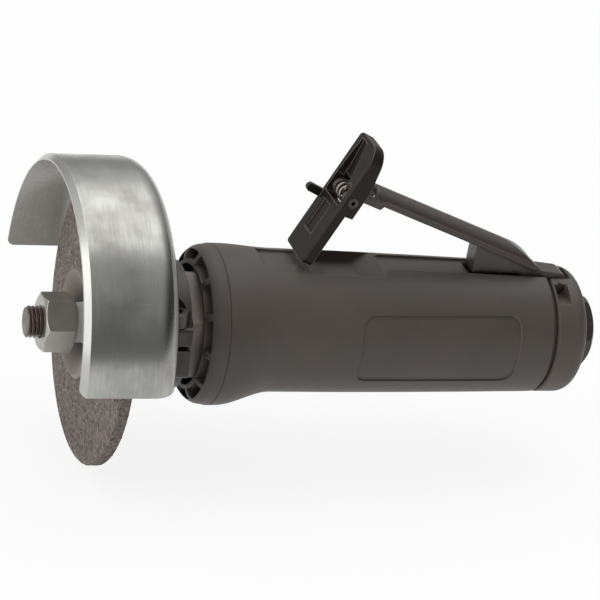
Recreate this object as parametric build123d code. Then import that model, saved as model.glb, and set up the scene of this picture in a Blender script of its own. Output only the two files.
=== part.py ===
# Compressed-air straight cut-off grinder, in millimetres.
# X runs along the spindle from its tip to the air inlet, Z is up, towards the lever.
# The origin is on the spindle axis, where the full thread begins.
import os
from math import asin, cos, degrees, pi, radians, sin, sqrt

from build123d import *

# Spindle and what is clamped on it
thread_radius = 4.7625
free_thread = 2.8
nut_thread_radius = 4.42
seat_radius = 4.7
tip_chamfer = 0.9
nut_front = 3.0
nut_length = 8.3
nut_across_flats = 14.3
nut_corner_angle = 20.5
nut_crown_drop = 1.32
nut_crown_run = 0.79
nut_back_drop = 0.92
nut_back_run = 0.53
flange_radius = 15.0
flange_hub_radius = 5.4
flange_hub_length = 4.8
flange_rim = 3.9
flange_dish = 2.9
flange_hub_step = 1.0
flange_edge = 0.9
wheel_radius = 38.1
wheel_thickness = 3.2
wheel_edge = 0.3
wheel_bore_clearance = 0.05
back_flange_thickness = 3.0
back_flange_hub = 3.7
back_flange_edge = 0.6
journal_radius = 6.0
rotor_seat_radius = 5.6
rear_journal_radius = 4.0

# Guard and its clamp
guard_clearance = 4.9
guard_wall = 1.8
guard_front = 3.2
guard_back = 29.5
guard_corner = 5.0
guard_lip_length = 1.6
guard_lip_drop = 1.5
guard_edge_height = 1.6
guard_hub_radius = 19.0
boss_radius = 13.0
guard_fit = 0.05
collar_radius = 17.4
collar_length = 10.4
collar_slit = 1.4
ear_reach = 20.8
ear_top = 5.6
ear_bottom = 8.4
ear_inset = 0.8
clamp_screw_radius = 2.5
clamp_screw_head = 4.1
clamp_screw_head_height = 3.8
clamp_screw_offset = 16.9
clamp_screw_key = 2.0
clamp_screw_edge = 0.4
collar_turn = -8.6
ear_round = 1.2
head_clearance = 0.2

# Clamp nut, exhaust nose and front of the housing
clamp_flats = 28.2
clamp_corner_radius = 15.9
clamp_flange_start = 40.6
clamp_flange_length = 5.8
clamp_spigot_radius = 15.6
clamp_bore = 8.8
clamp_corner_angle = 5.0
clamp_edge = 0.6
clamp_overhang = 5.4
nose_front = 43.4
nose_seam = 49.4
nose_radius = 22.0
nose_inner = 16.4
nose_round = 4.4
nose_slope = 0.3
seam_bevel = 0.25
slot_count = 12
slot_first_angle = 13.0
slot_inner = 17.3
slot_outer = 20.6
slot_depth = 4.4
slot_step = 0.25
rib_width = 1.8
felt_length = 4.2
felt_clearance = 0.1

# Vane motor
bearing_width = 8.0
bearing_radius = 14.0
rear_bearing_width = 6.0
rear_bearing_radius = 9.5
bearing_ring = 2.2
bearing_gap = 0.3
motor_radius = 14.5
motor_fit = 0.05
front_plate_length = 7.0
cylinder_length = 44.0
rear_plate_length = 7.5
rear_plate_web = 1.0
rotor_radius = 11.4
cylinder_bore = 12.9
bore_offset = 1.1
rotor_end_gap = 0.3
vane_count = 5
vane_width = 1.6
vane_depth = 4.4
gasket_thickness = 0.6

# Grip: a round form whose centre rises a little towards the lever
grip_end = 144.3
grip_radius = 19.6
grip_rear_radius = 18.2
grip_rise = 1.5
grip_rear_rise = 0.45
flare_start = 51.5
flare_end = 67.0
flare_steps = 10
rear_steps = 4
pad_start = 61.8
pad_start_height = 20.1
pad_end_height = 17.7
pad_half_width = 4.4
pad_lead = 1.0
trough_start = 76.0
trough_length = 23.0
trough_clearance = 0.6
trough_floor = 15.6
trough_ramp = 5.0
trough_step = 1.4
trough_lead = 5.0
trough_exit = 9.0
label_start = 87.7
label_length = 46.7
label_height = 19.6
label_corner = 3.5
label_depth = 0.4
label_angle = 84.0
channel_count = 4
channel_width = 6.0
channel_length = 26.0
channel_angle = 45.0

# Rear end and air inlet
groove_width = 1.6
seal_radius = 16.6
cap_radius = 17.75
cap_length = 9.9
cap_rear_round = 4.0
cap_front_chamfer = 0.5
cap_spigot_radius = 14.5
cap_spigot_length = 3.0
inlet_flats = 19.0
inlet_hex_length = 4.6
inlet_crown_drop = 1.6
inlet_crown_run = 1.2
inlet_spigot_radius = 8.0
inlet_spigot_length = 15.0
inlet_thread_radius = 5.7
inlet_thread_length = 13.0
inlet_bore = 4.4
screen_thickness = 0.8
screen_inset = 2.0
screen_hole = 0.7
screen_holes = 6
slip_fit = 0.05

# Throttle valve
valve_x = 130.0
valve_pin_radius = 2.0
valve_bush_radius = 3.3
valve_seat_height = 4.0
valve_seat_bore = 2.7
valve_disc_radius = 3.8
valve_disc_thickness = 2.4
valve_chamber_radius = 4.6
valve_chamber_floor = -9.0
valve_seat_gap = 0.3
valve_lever_gap = 0.35
valve_spring_radius = 2.6
valve_spring_wire = 0.4
valve_spring_turns = 5
valve_spring_gap = 0.1
air_passage = 2.2
air_passage_height = 8.0

# Throttle lever and its hinge; heights of the lever are measured square to its slope
hinge_x = 148.4
hinge_depth = 2.45
hinge_pin_radius = 1.6
knuckle_radius = 3.5
latch_x = 82.2
latch_z = 40.2
lever_slope = 20.5
lever_width = 9.0
lever_wall = 1.2
lever_roof = 2.0
lever_skirt = 0.5
lever_under = 1.6
lever_edge = 3.05
lever_top = 5.5
lever_front = 6.4
lever_crown = 1.6
lever_bend = 49.0
lever_rear = 62.5
lever_rear_top = 2.5
lever_rear_under = 1.2
lug_radius = 2.3
lug_tail = 9.5
lug_drop = 0.55
web_width = 6.2
web_front = 122.6
web_bottom = 18.6
web_rear = 136.5
web_shoulder = 143.2
web_shoulder_top = 19.4
slot_clearance = 0.4
slot_front_gap = 1.1
slot_floor = 13.3
pin_recess = 4.0
pin_recess_depth = 3.2

# Lock-off latch and its spring
latch_lean = 25.5
latch_width = 14.0
latch_front = 2.8
latch_plate = 3.0
latch_foot = 20.9
latch_top = 15.9
latch_paddle = 4.7
latch_paddle_tip = 3.0
latch_paddle_start = 6.0
latch_paddle_bend = 7.6
latch_cheek = 1.2
latch_lobe = 2.5
latch_lobe_low = 4.3
latch_pin_radius = 1.2
latch_pin_bore = 0.6
latch_window_low = 2.8
latch_window_high = 4.0
latch_window_half = 5.5
latch_tab_reach = 4.8
latch_tab_height = 2.4
latch_tab_drop = 4.6
latch_round = 1.4
latch_near_round = 4.5
latch_far_round = 2.4
latch_edge = 0.3
recess_edge = 0.35
recess_far = 5.6
recess_far_top = 4.4
recess_near_top = 0.7
recess_near = 3.1
recess_top = 14.6
recess_deep = 2.2
recess_shallow = 0.5
foot_recess = 0.6
foot_recess_far = 3.3
foot_recess_near = 2.0
foot_recess_top = 4.7
foot_recess_low = 14.1
spring_wire = 0.45
spring_radius = 1.95
spring_turns = 2
spring_pitch = 2.1
spring_shift = 0.25
spring_long_leg = 6.5
spring_short_leg = 2.4
running_fit = 0.05

# Places that follow from the sizes above
nut_back = nut_front + nut_length
wheel_front = nut_back + flange_hub_length
wheel_back = wheel_front + wheel_thickness
flange_back = wheel_back + back_flange_thickness
shoulder = flange_back + back_flange_hub
collar_start = guard_back
boss_front = guard_back - guard_wall
guard_radius = wheel_radius + guard_clearance + guard_wall
bearing_end = clamp_flange_start + clamp_flange_length + clamp_overhang
bearing_start = bearing_end - bearing_width
motor_front = bearing_end + gasket_thickness
cylinder_start = motor_front + front_plate_length
cylinder_end = cylinder_start + cylinder_length
motor_rear = cylinder_end + rear_plate_length
rear_bearing_start = cylinder_end + rear_plate_web
rear_bearing_end = rear_bearing_start + rear_bearing_width
cap_start = grip_end + groove_width
cap_end = cap_start + cap_length
inlet_end = cap_end + inlet_hex_length
slot_half = web_width / 2 + slot_clearance
hinge_z = cap_radius - hinge_depth
hinge_pin_half = sqrt(cap_radius ** 2 - hinge_z ** 2) - pin_recess_depth
trough_half_width = latch_width / 2 + trough_clearance
skirt_half = lever_width / 2 - lever_skirt
lever_plane = Plane(
    origin=(latch_x, 0, latch_z),
    x_dir=(cos(radians(lever_slope)), 0, -sin(radians(lever_slope))),
    z_dir=(0, -1, 0),
)
low = (Align.CENTER, Align.CENTER, Align.MIN)


def rod(x_start, x_end, radius):
    return Pos(x_start, 0, 0) * Rot(0, 90, 0) * Cylinder(radius, x_end - x_start, align=low)


def tube(x_start, x_end, outer, inner):
    return rod(x_start, x_end, outer) - rod(x_start - 1, x_end + 1, inner)


def hexagon(x_start, x_end, across_flats, corner_angle):
    outline = RegularPolygon(across_flats / 2, 6, major_radius=False)
    bar = extrude(outline, x_end - x_start)
    return Rot(corner_angle, 0, 0) * Pos(x_start, 0, 0) * Rot(0, 90, 0) * bar


def post(x, y, z_low, z_high, radius):
    return Pos(x, y, z_low) * Cylinder(radius, z_high - z_low, align=low)


def cross_pin(x, z, half_length, radius):
    return Pos(x, 0, z) * Rot(90, 0, 0) * Cylinder(radius, 2 * half_length)


def block(x_range, y_range, z_range):
    size = [high - first for first, high in (x_range, y_range, z_range)]
    centre = [(high + first) / 2 for first, high in (x_range, y_range, z_range)]
    return Pos(*centre) * Box(*size)


def turned(*outline):
    line = Polyline(*[(x, 0, r) for x, r in outline], close=True)
    return revolve(make_face(line), Axis.X, 360)


def around(shape, count, first_angle=0.0):
    return [Rot(first_angle + 360 * i / count, 0, 0) * shape for i in range(count)]


def slab(outline, width):
    return extrude(make_face(Polyline(*outline, close=True)), width / 2, both=True)


# Wire of constant bend: each quarter turn of a helix is two arcs that meet on one tangent
def biarc(start, start_way, end, end_way):
    span = end - start
    ways = start_way + end_way
    a = 2 * (1 - start_way.dot(end_way))
    b = 2 * span.dot(ways)
    reach = (-b + sqrt(b * b + 4 * a * span.dot(span))) / (2 * a)
    middle = (start + start_way * reach + end - end_way * reach) * 0.5
    first = TangentArc(start, middle, tangent=start_way)
    second = TangentArc(middle, end, tangent=first % 1)
    return [first, second]


def helix_point(radius, pitch, turn):
    angle = 2 * pi * turn
    return Vector(radius * cos(angle), radius * sin(angle), pitch * turn)


def helix_way(radius, pitch, turn):
    angle = 2 * pi * turn
    return Vector(-2 * pi * radius * sin(angle), 2 * pi * radius * cos(angle), pitch).normalized()


def helix_edges(radius, pitch, turns):
    edges = []
    quarters = round(turns * 4)
    for i in range(quarters):
        begin, end = i / 4, (i + 1) / 4
        edges += biarc(
            helix_point(radius, pitch, begin),
            helix_way(radius, pitch, begin),
            helix_point(radius, pitch, end),
            helix_way(radius, pitch, end),
        )
    return edges


def wire_sweep(edges, wire_radius):
    path = Wire(edges)
    section = Plane(origin=path @ 0, z_dir=path % 0) * Circle(wire_radius)
    return sweep(section, path=path)


def self_gap(edges, wire_radius):
    path = Wire(edges)
    steps = int(path.length / 0.3)
    points = [path @ (i / steps) for i in range(steps + 1)]
    apart = int(4 * pi * wire_radius / 0.3)
    least = min(
        (points[i] - points[j]).length
        for i in range(len(points))
        for j in range(i + apart, len(points))
    )
    return least - 2 * wire_radius


# Spindle group
def make_spindle():
    return turned(
        (-tip_chamfer, 0),
        (-tip_chamfer, thread_radius - tip_chamfer),
        (0, thread_radius),
        (free_thread, thread_radius),
        (free_thread, nut_thread_radius),
        (nut_back, nut_thread_radius),
        (nut_back, seat_radius),
        (shoulder, seat_radius),
        (shoulder, journal_radius),
        (bearing_end, journal_radius),
        (bearing_end, rotor_seat_radius),
        (cylinder_end, rotor_seat_radius),
        (cylinder_end, rear_journal_radius),
        (rear_bearing_end, rear_journal_radius),
        (rear_bearing_end, 0),
    )


def make_wheel_nut():
    nut = hexagon(nut_front, nut_back, nut_across_flats, nut_corner_angle)
    corner = nut_across_flats / sqrt(3)
    crown = turned(
        (nut_front, 0),
        (nut_front, corner - nut_crown_drop),
        (nut_front + nut_crown_run, corner),
        (nut_back - nut_back_run, corner),
        (nut_back, corner - nut_back_drop),
        (nut_back, 0),
    )
    return (nut & crown) - rod(nut_front - 1, nut_back + 1, nut_thread_radius)


def make_outer_flange():
    rim_front = wheel_front - flange_rim
    return turned(
        (nut_back, seat_radius),
        (nut_back, flange_hub_radius),
        (rim_front + flange_dish, flange_hub_radius),
        (rim_front + flange_dish, flange_hub_radius + flange_hub_step),
        (rim_front, flange_radius - flange_edge),
        (rim_front + flange_edge, flange_radius),
        (wheel_front, flange_radius),
        (wheel_front, seat_radius),
    )


def make_wheel():
    return turned(
        (wheel_front, seat_radius + wheel_bore_clearance),
        (wheel_front, wheel_radius - wheel_edge),
        (wheel_front + wheel_edge, wheel_radius),
        (wheel_back - wheel_edge, wheel_radius),
        (wheel_back, wheel_radius - wheel_edge),
        (wheel_back, seat_radius + wheel_bore_clearance),
    )


def make_inner_flange():
    return turned(
        (wheel_back, seat_radius),
        (wheel_back, flange_radius),
        (flange_back - back_flange_edge, flange_radius),
        (flange_back, flange_radius - back_flange_edge),
        (flange_back, flange_hub_radius),
        (shoulder, flange_hub_radius),
        (shoulder, seat_radius),
    )


def vane_slots(length_start, length_end, depth):
    bottom = rotor_radius - depth
    slot = block((length_start, length_end), (-vane_width / 2, vane_width / 2), (bottom, rotor_radius + 1))
    return around(slot, vane_count)


def make_rotor():
    start, end = cylinder_start + rotor_end_gap, cylinder_end - rotor_end_gap
    return tube(start, end, rotor_radius, rotor_seat_radius) - vane_slots(start - 1, end + 1, vane_depth)


def make_vanes():
    start, end = cylinder_start + rotor_end_gap, cylinder_end - rotor_end_gap
    round_bar = rod(start, end, rotor_radius)
    return Compound([(vane & round_bar).solid() for vane in vane_slots(start, end, vane_depth)])


# Guard group
def make_guard_shell():
    outer, inner = guard_radius, guard_radius - guard_wall
    back, front = guard_back, guard_front
    plate = boss_front
    bend = guard_corner - guard_wall
    with BuildSketch(Plane.XZ) as profile:
        with BuildLine():
            a = Line((front, inner), (front, outer - guard_lip_drop))
            b = Line(a @ 1, (front + guard_lip_length, outer))
            c = Line(b @ 1, (back - guard_corner, outer))
            d = RadiusArc(c @ 1, (back, outer - guard_corner), guard_corner)
            e = Line(d @ 1, (back, guard_hub_radius))
            f = Line(e @ 1, (plate, guard_hub_radius))
            g = Line(f @ 1, (plate, inner - bend))
            h = RadiusArc(g @ 1, (plate - bend, inner), -bend)
            Line(h @ 1, a @ 0)
        make_face()
    cup = revolve(profile.sketch, Axis.X, 360)
    below = block((front - 1, back + 1), (-outer - 1, outer + 1), (-outer - 1, guard_edge_height))
    return cup - below


def make_guard_hub():
    return tube(boss_front, guard_back, guard_hub_radius, boss_radius + 4 * guard_fit)


def make_guard_collar():
    start, end = collar_start, collar_start + collar_length
    screw_x = (start + end) / 2
    ear = block((start + ear_inset, end - ear_inset), (-ear_reach, 0), (-ear_bottom, ear_top))
    ear = fillet(ear.edges().filter_by(Axis.X).group_by(Axis.Y)[0], ear_round)
    ring = rod(start, end, collar_radius) + ear
    ring -= rod(start - 1, end + 1, boss_radius + guard_fit)
    half_slit = collar_slit / 2
    ring -= block((start - 1, end + 1), (-ear_reach - 1, 0), (-half_slit, half_slit))
    ring -= post(screw_x, -clamp_screw_offset, -ear_bottom - 1, ear_top + 1, clamp_screw_radius)
    ring -= post(screw_x, -clamp_screw_offset, ear_top, collar_radius, clamp_screw_head + head_clearance)
    return Rot(collar_turn, 0, 0) * ring


def make_guard_screw():
    screw_x = collar_start + collar_length / 2
    head_top = ear_top + clamp_screw_head_height
    head = post(screw_x, -clamp_screw_offset, ear_top, head_top, clamp_screw_head)
    head = chamfer(head.edges().group_by(Axis.Z)[-1], clamp_screw_edge)
    shank = post(screw_x, -clamp_screw_offset, -ear_bottom + clamp_screw_edge, ear_top, clamp_screw_radius)
    key_depth = clamp_screw_head_height / 2
    key = extrude(RegularPolygon(clamp_screw_key, 6, major_radius=False), key_depth)
    screw = head + shank - Pos(screw_x, -clamp_screw_offset, head_top - key_depth) * key
    return Rot(collar_turn, 0, 0) * screw


# Front of the housing
def make_clamp_nut():
    flange_end = clamp_flange_start + clamp_flange_length
    hex_body = hexagon(clamp_flange_start, flange_end, clamp_flats, clamp_corner_angle)
    hex_body &= rod(clamp_flange_start, flange_end, clamp_corner_radius)
    boss = rod(boss_front, clamp_flange_start, boss_radius)
    boss = chamfer(boss.edges().group_by(Axis.X)[0], clamp_edge)
    body = hex_body + boss + rod(flange_end, bearing_end, clamp_spigot_radius)
    body -= rod(boss_front - 1, bearing_start, clamp_bore)
    return body - rod(bearing_start, bearing_end + 1, bearing_radius)


def make_exhaust_nose():
    rise = nose_front + nose_round
    with BuildSketch(Plane.XZ) as profile:
        with BuildLine():
            a = Line((nose_front, nose_inner), (nose_front, nose_radius - nose_round))
            b = RadiusArc(a @ 1, (rise, nose_radius - nose_slope), nose_round)
            bevel = Line(b @ 1, (nose_seam - seam_bevel, nose_radius))
            c = Line(bevel @ 1, (nose_seam, nose_radius - seam_bevel))
            d = Line(c @ 1, (nose_seam, slot_outer))
            e = Line(d @ 1, (nose_front + slot_depth, slot_outer))
            f = Line(e @ 1, (nose_front + slot_depth, slot_inner))
            g = Line(f @ 1, (nose_seam, slot_inner))
            h = Line(g @ 1, (nose_seam, nose_inner))
            Line(h @ 1, a @ 0)
        make_face()
    shell = revolve(profile.sketch, Axis.X, 360)
    half_rib = degrees(asin(rib_width / 2 / slot_outer))
    opening = 360 / slot_count - 2 * half_rib
    corners = (
        (nose_front - 1, 0, slot_inner + slot_step),
        (nose_front - 1, 0, slot_outer - slot_step),
        (nose_front + slot_depth + 1, 0, slot_outer - slot_step),
        (nose_front + slot_depth + 1, 0, slot_inner + slot_step),
    )
    window = revolve(make_face(Polyline(*corners, close=True)), Axis.X, opening)
    return shell - around(window, slot_count, slot_first_angle - opening / 2)


def ease(value):
    held = min(max(value, 0.0), 1.0)
    return held * held * (3 - 2 * held)


def grip_size(x):
    flare = ease((flare_end - x) / (flare_end - flare_start))
    along = max((x - flare_end) / (grip_end - flare_end), 0.0)
    radius = grip_radius + (nose_radius - grip_radius) * flare
    radius -= (grip_radius - grip_rear_radius) * along ** 1.5
    rise = (grip_rise - (grip_rise - grip_rear_rise) * along) * (1 - flare)
    return radius, rise


def grip_form(shrink=0.0):
    flare_step = (flare_end - flare_start) / flare_steps
    rear_step = (grip_end - flare_end) / rear_steps
    stations = [nose_seam]
    stations += [flare_start + flare_step * i for i in range(flare_steps)]
    stations += [flare_end + rear_step * i for i in range(rear_steps + 1)]
    sections = []
    for x in stations:
        radius, rise = grip_size(x)
        sections.append(Pos(x, 0, rise) * Rot(0, 90, 0) * Circle(radius - shrink))
    return loft(sections, ruled=True)


def seam_groove():
    depth = nose_radius - seam_bevel
    return turned(
        (nose_seam - 1, depth),
        (nose_seam, depth),
        (nose_seam + 2 * seam_bevel, nose_radius + seam_bevel),
        (nose_seam - 1, nose_radius + seam_bevel),
    )


def make_grip_housing():
    outer = grip_form()
    far = 2 * nose_radius
    fall = pad_end_height - pad_start_height
    pad_far = far * fall / (grip_end - pad_start)
    pad = slab(
        [
            (pad_start - pad_lead, 0, far),
            (pad_start - pad_lead, 0, pad_start_height + pad_lead / 2),
            (pad_start, 0, pad_start_height),
            (grip_end + far, 0, pad_end_height + pad_far),
            (grip_end + far, 0, far),
        ],
        2 * pad_half_width,
    )
    crest = grip_rise + grip_radius
    trough_end = trough_start + trough_length
    trough = slab(
        [
            (trough_start - trough_ramp, 0, crest),
            (trough_start, 0, trough_floor + trough_step),
            (trough_start + trough_lead, 0, trough_floor),
            (trough_end - trough_exit, 0, trough_floor),
            (trough_end, 0, crest),
        ],
        2 * trough_half_width,
    )
    label_way = (0, -sin(radians(label_angle)), cos(radians(label_angle)))
    label_plane = Plane(origin=(label_start + label_length / 2, 0, 0), x_dir=(1, 0, 0), z_dir=label_way)
    label_prism = extrude(label_plane * RectangleRounded(label_length, label_height, label_corner), far)
    body = outer - (label_prism - grip_form(label_depth)) - pad - trough
    body -= rod(nose_seam - 1, bearing_end, clamp_spigot_radius + slip_fit)
    body -= rod(bearing_end - 0.5, motor_rear + gasket_thickness, motor_radius + motor_fit)
    body -= tube(nose_seam - 1, nose_seam + felt_length, slot_outer, slot_inner)
    channel = block(
        (nose_seam - 1, nose_seam + channel_length),
        (-channel_width / 2, channel_width / 2),
        (motor_radius - 2, slot_inner),
    )
    body -= around(channel, channel_count, channel_angle)
    body -= seam_groove()
    web_slot = block((web_front - slot_front_gap, grip_end + 1), (-slot_half, slot_half), (slot_floor, far))
    body -= web_slot
    body -= post(valve_x, 0, valve_seat_height, slot_floor + 1, valve_bush_radius)
    body -= post(valve_x, 0, valve_chamber_floor, valve_seat_height, valve_chamber_radius)
    body -= rod(valve_x, grip_end + 1, inlet_bore)
    body -= Pos(0, 0, air_passage_height) * rod(motor_rear, valve_x, air_passage)
    body -= rod(cap_end - inlet_spigot_length, grip_end + 1, inlet_spigot_radius + slip_fit)
    return body - rod(cap_start - cap_spigot_length, grip_end + 1, cap_spigot_radius + slip_fit)


# Motor stack and bearings
def make_front_plate():
    return tube(motor_front, cylinder_start, motor_radius, rotor_seat_radius + bearing_gap)


def make_cylinder():
    bore = Pos(0, 0, -bore_offset) * rod(cylinder_start - 1, cylinder_end + 1, cylinder_bore)
    return rod(cylinder_start, cylinder_end, motor_radius) - bore


def make_rear_plate():
    plate = tube(cylinder_end, motor_rear, motor_radius, rear_journal_radius + bearing_gap)
    return plate - rod(rear_bearing_start, motor_rear + 1, rear_bearing_radius)


def bearing_rings(start, end, outer, inner):
    inner_ring = tube(start, end, inner + bearing_ring, inner)
    outer_ring = tube(start, end, outer, inner + bearing_ring + bearing_gap)
    return outer_ring, inner_ring


def make_felt():
    return tube(
        nose_front + slot_depth + felt_clearance,
        nose_seam + felt_length - felt_clearance,
        slot_outer - felt_clearance,
        slot_inner + felt_clearance,
    )


# Rear end
def hinge_slot():
    deep = hinge_z - knuckle_radius - slot_clearance
    rear = hinge_x + knuckle_radius + slot_clearance
    straight = block((grip_end - cap_spigot_length, hinge_x), (-slot_half, slot_half), (deep, 2 * cap_radius))
    lift = block((hinge_x - 1, rear), (-slot_half, slot_half), (hinge_z, 2 * cap_radius))
    return straight + lift + cross_pin(hinge_x, hinge_z, slot_half, knuckle_radius + slot_clearance)


def make_end_cap():
    body = turned(
        (cap_start, 0),
        (cap_start, cap_radius - cap_front_chamfer),
        (cap_start + cap_front_chamfer, cap_radius),
        (cap_end, cap_radius),
        (cap_end, 0),
    )
    body = fillet(body.edges().group_by(Axis.X)[-1], cap_rear_round)
    body += rod(cap_start - cap_spigot_length, cap_start, cap_spigot_radius)
    body -= rod(cap_start - cap_spigot_length - 1, cap_end + 1, inlet_spigot_radius + slip_fit)
    body -= hinge_slot()
    body -= cross_pin(hinge_x, hinge_z, hinge_pin_half, hinge_pin_radius)
    half = pin_recess / 2
    for side in (-1, 1):
        reach = sorted((side * hinge_pin_half, side * 2 * cap_radius))
        body -= block((hinge_x - half, hinge_x + half), reach, (hinge_z - half, hinge_z + half))
    return body


def make_seal():
    ring = tube(grip_end, cap_start, seal_radius, cap_spigot_radius)
    return ring - block((grip_end - 1, cap_start + 1), (-slot_half, slot_half), (0, 2 * cap_radius))


def make_inlet_bushing():
    corner = inlet_flats / sqrt(3)
    crown = turned(
        (cap_end, 0),
        (cap_end, corner),
        (inlet_end - inlet_crown_run, corner),
        (inlet_end, corner - inlet_crown_drop),
        (inlet_end, 0),
    )
    body = hexagon(cap_end, inlet_end, inlet_flats, nut_corner_angle) & crown
    body += rod(cap_end - inlet_spigot_length, cap_end, inlet_spigot_radius)
    body -= rod(cap_end - inlet_spigot_length - 1, inlet_end, inlet_bore)
    return body - rod(inlet_end - inlet_thread_length, inlet_end + 1, inlet_thread_radius)


def make_inlet_screen():
    start = cap_end - inlet_spigot_length + screen_inset
    disc = rod(start, start + screen_thickness, inlet_bore)
    middle = rod(start - 1, start + screen_thickness + 1, screen_hole)
    return disc - around(Pos(0, 0, inlet_bore / 2) * middle, screen_holes) - middle


# Throttle valve
def make_valve_bush():
    guide_floor = air_passage_height + air_passage
    sleeve = post(valve_x, 0, valve_seat_height, slot_floor, valve_bush_radius)
    sleeve -= post(valve_x, 0, valve_seat_height - 1, slot_floor + 1, valve_pin_radius + running_fit)
    sleeve -= post(valve_x, 0, valve_seat_height - 1, guide_floor, valve_seat_bore)
    return sleeve - Pos(0, 0, air_passage_height) * rod(valve_x - 2 * valve_bush_radius, valve_x, air_passage)


def make_throttle_pin():
    disc_bottom = valve_seat_height - valve_seat_gap - valve_disc_thickness
    return post(valve_x, 0, disc_bottom, web_bottom - valve_lever_gap, valve_pin_radius)


def make_throttle_valve():
    top = valve_seat_height - valve_seat_gap
    disc = post(valve_x, 0, top - valve_disc_thickness, top, valve_disc_radius)
    return disc - post(valve_x, 0, top - valve_disc_thickness - 1, top + 1, valve_pin_radius)


def valve_spring_edges():
    ends = valve_spring_wire + valve_spring_gap
    top = valve_seat_height - valve_seat_gap - valve_disc_thickness - ends
    bottom = valve_chamber_floor + ends
    pitch = (top - bottom) / valve_spring_turns
    place = Pos(valve_x, 0, bottom)
    return [place * edge for edge in helix_edges(valve_spring_radius, pitch, valve_spring_turns)]


# Throttle lever: a channel-section bar with two lugs in front and a web and knuckle behind
def make_lever_bar():
    with BuildSketch() as side:
        with BuildLine():
            a = Line((lever_front, lever_under), (lever_front, lever_top - lever_crown))
            b = TangentArc(a @ 1, (lever_front + lever_crown, lever_top), tangent=(0, 1))
            c = Line(b @ 1, (lever_bend, lever_top))
            d = TangentArc(c @ 1, (lever_rear, lever_rear_top), tangent=(1, 0))
            e = Line(d @ 1, (lever_rear, lever_rear_under))
            f = Line(e @ 1, (lever_bend, lever_under))
            Line(f @ 1, a @ 0)
        make_face()
    bar = extrude(side.sketch, lever_width / 2, both=True) & lever_section()
    web_along = lever_plane.to_local_coords(Vector(web_front, 0, web_bottom)).X
    hollow = block(
        (lever_front - 1, web_along),
        (lever_under - 1, lever_top - lever_roof),
        (lever_wall - lever_width / 2, lever_width / 2 - lever_wall),
    )
    return lever_plane * (bar - hollow)


# Across the lever: a round back over two narrower skirts
def lever_section():
    half = lever_width / 2
    low_end = lever_rear_under - 1
    with BuildSketch(Plane.YZ) as section:
        with BuildLine():
            back = ThreePointArc((lever_edge, -half), (lever_top, 0), (lever_edge, half))
            Polyline(
                back @ 1,
                (lever_edge, skirt_half),
                (low_end, skirt_half),
                (low_end, -skirt_half),
                (lever_edge, -skirt_half),
                back @ 0,
            )
        make_face()
    return extrude(section.sketch, lever_rear + 1)


def make_lever_lug(side):
    outline = Polyline(
        (0, lug_drop),
        (lug_tail, lug_drop),
        (lug_tail + lug_drop, lever_under),
        (lug_tail + lug_drop, lever_edge),
        (lever_front, lever_edge),
        (0, lug_radius),
        close=True,
    )
    lug = extrude(Circle(lug_radius), lever_wall / 2, both=True)
    lug += extrude(make_face(outline), lever_wall / 2, both=True)
    return lever_plane * Pos(0, 0, side * (lever_width - lever_wall) / 2) * lug


def make_lever_web():
    knuckle = cross_pin(hinge_x, hinge_z, web_width / 2, knuckle_radius)
    bend = lever_plane.from_local_coords(Vector(lever_rear, lever_rear_top, 0))
    middle = (lever_under + lever_edge) / 2
    slope = radians(lever_slope)
    along = (web_front - latch_x - middle * sin(slope)) / cos(slope)
    top = lever_plane.from_local_coords(Vector(along, middle, 0))
    run = hinge_x - web_rear
    fall = web_bottom - hinge_z + knuckle_radius
    tail = sqrt(run * run + fall * fall)
    under_x = hinge_x - knuckle_radius * fall / tail
    under_z = hinge_z - knuckle_radius * run / tail
    side = slab(
        [
            (web_front, 0, top.Z),
            (web_front, 0, web_bottom),
            (web_rear, 0, web_bottom),
            (under_x, 0, under_z),
            (hinge_x, 0, hinge_z + knuckle_radius),
            (web_shoulder, 0, web_shoulder_top),
            (bend.X, 0, bend.Z),
        ],
        web_width,
    )
    return knuckle + side


def make_throttle_lever():
    lever = make_lever_bar() + make_lever_web()
    for side in (-1, 1):
        lever += make_lever_lug(side)
    lever -= cross_pin(latch_x, latch_z, lever_width, latch_pin_radius)
    return lever - cross_pin(hinge_x, hinge_z, lever_width, hinge_pin_radius + running_fit)


def make_latch_pin():
    half = latch_width / 2
    pin = cross_pin(latch_x, latch_z, half, latch_pin_radius)
    return pin - cross_pin(latch_x, latch_z, half + 1, latch_pin_bore)


# Latch, drawn upright with its pin at the origin and its front face towards -X
def upright_latch():
    half = latch_width / 2
    back = latch_plate - latch_front
    plate = block((-latch_front, back), (-half, half), (-latch_foot, latch_paddle_start + latch_round))
    plate = chamfer(plate.edges().filter_by(Axis.Z).group_by(Axis.X)[0], latch_edge)
    plate = fillet(plate.edges().filter_by(Axis.X).group_by(Axis.Z)[0], latch_round)
    body = plate + latch_paddle_block() - thumb_recess()
    open_half = latch_window_half
    body -= block((-latch_front - 1, back + 1), (-open_half, open_half), (-latch_window_low, latch_window_high))
    thumb_edge = ((recess_near_top - recess_near) / 2, (recess_top + latch_window_high - 1) / 2)
    body = chamfer(body.edges().sort_by_distance((-latch_front, *thumb_edge))[0], recess_edge)
    body -= block(
        (-latch_front - 1, -latch_front + foot_recess),
        (-foot_recess_near, foot_recess_far),
        (-foot_recess_low, -foot_recess_top),
    )
    foot_edge = (foot_recess_far, -(foot_recess_low + foot_recess_top) / 2)
    body = chamfer(body.edges().sort_by_distance((-latch_front, *foot_edge))[0], recess_edge)
    for side in (-1, 1):
        body += Pos(0, side * (half - latch_cheek / 2), 0) * latch_cheek_plate()
    body += Pos(0, half - latch_cheek / 2, 0) * latch_tab()
    return body - Rot(90, 0, 0) * Cylinder(latch_pin_radius + running_fit, 2 * latch_width)


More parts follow.
